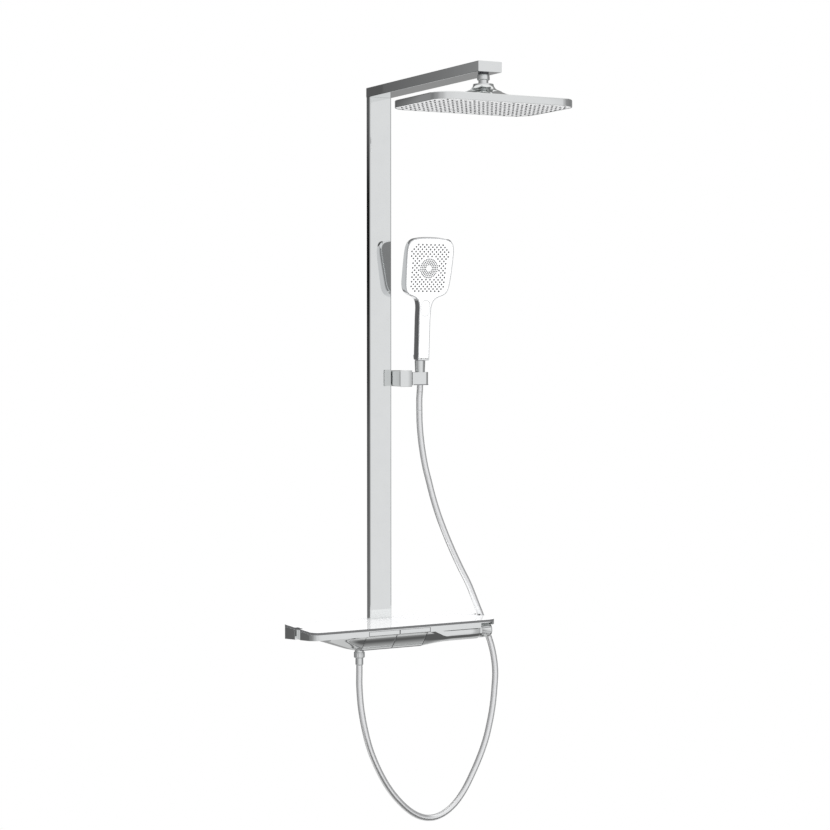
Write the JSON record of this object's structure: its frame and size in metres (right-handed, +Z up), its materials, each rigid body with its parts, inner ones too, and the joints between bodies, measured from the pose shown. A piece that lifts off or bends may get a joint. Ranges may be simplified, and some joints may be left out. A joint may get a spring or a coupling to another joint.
{
  "type": "rainfall shower column",
  "caption": "Wall-hung shower column: shelf mixer with press paddles and thermostat, flat riser and arm, wide tilting rain head, and a hand shower on a side slider with its hose.",
  "frame": {"origin": "on the wall, midway between the two water inlets", "axes": "+Z up, -Y away from the wall into the room, +X towards the thermostat knob and the hand shower"},
  "size_m": [0.498, 0.602, 1.6408],
  "materials": {
    "chrome": "polished chrome plate on brass or aluminium",
    "chrome_plastic": "polished chrome plate on ABS",
    "white_plate": "glossy white",
    "white_plastic": "glossy white",
    "silicone": "soft grey silicone",
    "brass": "raw machined brass",
    "steel": "stainless steel",
    "inner_plastic": "moulded engineering plastic",
    "hose": "smooth satin silver PVC"
  },
  "bodies": {
    "frame": {"wall_plate": "steel", "inlet_union_left": "brass", "inlet_union_right": "brass", "union_nut_left": "chrome", "union_nut_right": "chrome", "check_valves": "inner_plastic", "mixer_core": "brass", "shutoff_cartridges": "inner_plastic", "thermostat_cartridge": "inner_plastic", "thermostat_sleeve": "chrome", "paddle_rod": "steel", "hull_cover": "chrome", "shelf_plate": "white_plate", "shelf_tray": "chrome", "end_cap_left": "chrome", "end_cap_right": "chrome", "column_profile": "chrome", "column_base_block": "inner_plastic", "column_top_block": "inner_plastic", "riser_pipe": "brass", "top_bracket": "chrome", "arm_profile": "chrome", "arm_end_cap": "inner_plastic", "arm_elbow": "brass", "arm_pipe": "brass", "arm_nipple_block": "brass", "arm_screw_cap": "chrome", "collar_nut": "chrome", "ball_stem": "chrome", "outlet_spout": "chrome", "hose_nut": "chrome", "hose_sleeve": "chrome", "shower_hose": "hose"},
    "knob": {"temperature_knob": "chrome"},
    "safety": {"safety_button": "chrome"},
    "paddle_l": {"paddle_left": "chrome"},
    "paddle_r": {"paddle_right": "chrome"},
    "swivel": {"swivel_ring": "brass"},
    "tilt": {"tilt_ring": "inner_plastic"},
    "head": {"ball_socket": "inner_plastic", "head_bell": "chrome", "head_shell": "chrome", "water_chamber": "inner_plastic", "nozzle_mat": "silicone", "spray_plate": "white_plastic"},
    "slider": {"slider_body": "chrome", "slider_pad": "inner_plastic", "holder_pivot": "steel", "hose_mid": "hose"},
    "holder": {"holder_block": "chrome", "hose_top": "hose"},
    "cone": {"cone_nut": "chrome"},
    "handset": {"handset_shell": "chrome_plastic", "handset_face": "white_plastic", "handset_mat": "silicone", "handset_valve": "inner_plastic", "handset_spigot": "chrome"},
    "button": {"select_button": "white_plastic"}
  },
  "joints": [
    {"name": "overhead_spin", "type": "hinge", "parent": "frame", "child": "swivel", "pos_m": [0, -0.478, 1.152], "axis": [0, 0, 1], "continuous": true},
    {"name": "overhead_tilt_side", "type": "hinge", "parent": "swivel", "child": "tilt", "pos_m": [0, -0.478, 1.152], "axis": [0, 1, 0], "range_deg": [-10, 10]},
    {"name": "overhead_tilt_front", "type": "hinge", "parent": "tilt", "child": "head", "pos_m": [0, -0.478, 1.152], "axis": [1, 0, 0], "range_deg": [-10, 10]},
    {"name": "paddle_left_press", "type": "hinge", "parent": "frame", "child": "paddle_l", "pos_m": [-0.056, -0.145, 0.013], "axis": [1, 0, 0], "range_deg": [0, 3], "stiffness_Nm_per_rad": 6, "springref_deg": -2.86},
    {"name": "paddle_right_press", "type": "hinge", "parent": "frame", "child": "paddle_r", "pos_m": [0.0196, -0.145, 0.013], "axis": [1, 0, 0], "range_deg": [0, 3], "stiffness_Nm_per_rad": 6, "springref_deg": -2.86},
    {"name": "temperature_turn", "type": "hinge", "parent": "frame", "child": "knob", "pos_m": [0.203, -0.127, -0.0016], "axis": [1, 0, 0], "range_deg": [-90, 120]},
    {"name": "safety_press", "type": "slide", "parent": "knob", "child": "safety", "axis": [0, 0.7071, 0.7071], "range_m": [0, 0.0012], "stiffness_N_per_m": 800, "springref_m": -0.001},
    {"name": "slider_travel", "type": "slide", "parent": "frame", "child": "slider", "axis": [0, 0, 1], "range_m": [-0.4, 0.25], "deforming": ["shower_hose"]},
    {"name": "holder_tilt", "type": "hinge", "parent": "slider", "child": "holder", "pos_m": [0.0632, -0.0487, 0.5621], "axis": [1, 0, 0], "range_deg": [-5, 30], "deforming": ["hose_mid"]},
    {"name": "handset_lift", "type": "slide", "parent": "holder", "child": "cone", "axis": [0, 0, 1], "range_m": [0, 0.05], "deforming": ["hose_top"]},
    {"name": "handset_turn", "type": "hinge", "parent": "cone", "child": "handset", "pos_m": [0.0847, -0.0487, 0.6], "axis": [0, 0, 1], "range_deg": [-20, 60]},
    {"name": "select_press", "type": "slide", "parent": "handset", "child": "button", "axis": [0, 1, 0], "range_m": [0, 0.002], "stiffness_N_per_m": 600, "springref_m": -0.001}
  ]
}
